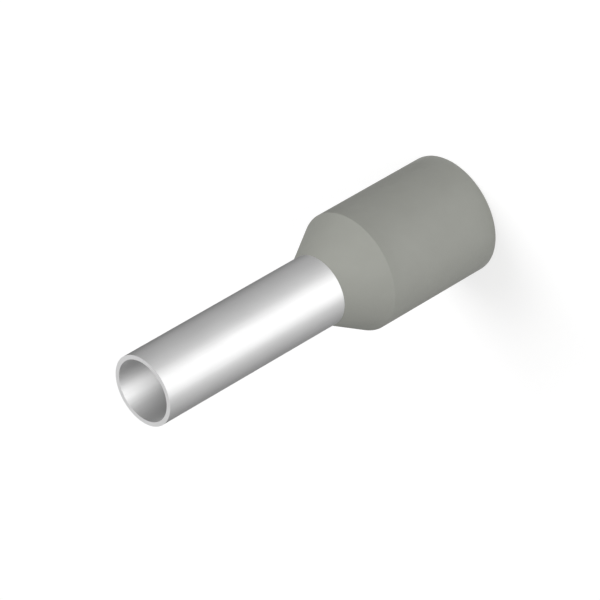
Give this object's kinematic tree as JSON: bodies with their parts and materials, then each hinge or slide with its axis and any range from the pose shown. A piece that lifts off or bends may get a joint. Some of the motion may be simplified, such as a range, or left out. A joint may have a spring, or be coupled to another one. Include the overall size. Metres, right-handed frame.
{
  "type": "wire ferrule",
  "caption": "Insulated wire end ferrule: a thin tinned sleeve flared at the rear, seated in a grey moulded collar that takes the insulation of the wire.",
  "frame": {"origin": "centre of the collar's mouth rim, which the ferrule stands on", "axes": "+Z along the axis of the ferrule, from the collar's mouth to the tip of the sleeve; X and Y are free, because it is a body of revolution"},
  "size_m": [0.0054, 0.0054, 0.018],
  "materials": {
    "tinned_copper": "copper tube with a satin electroplated tin finish and faint lengthwise drawing lines",
    "grey_polypropylene": "moulded polypropylene, even warm grey, matt with a fine moulded texture"
  },
  "bodies": {
    "root": {"contact_sleeve": "tinned_copper", "insulating_collar": "grey_polypropylene"}
  },
  "joints": []
}
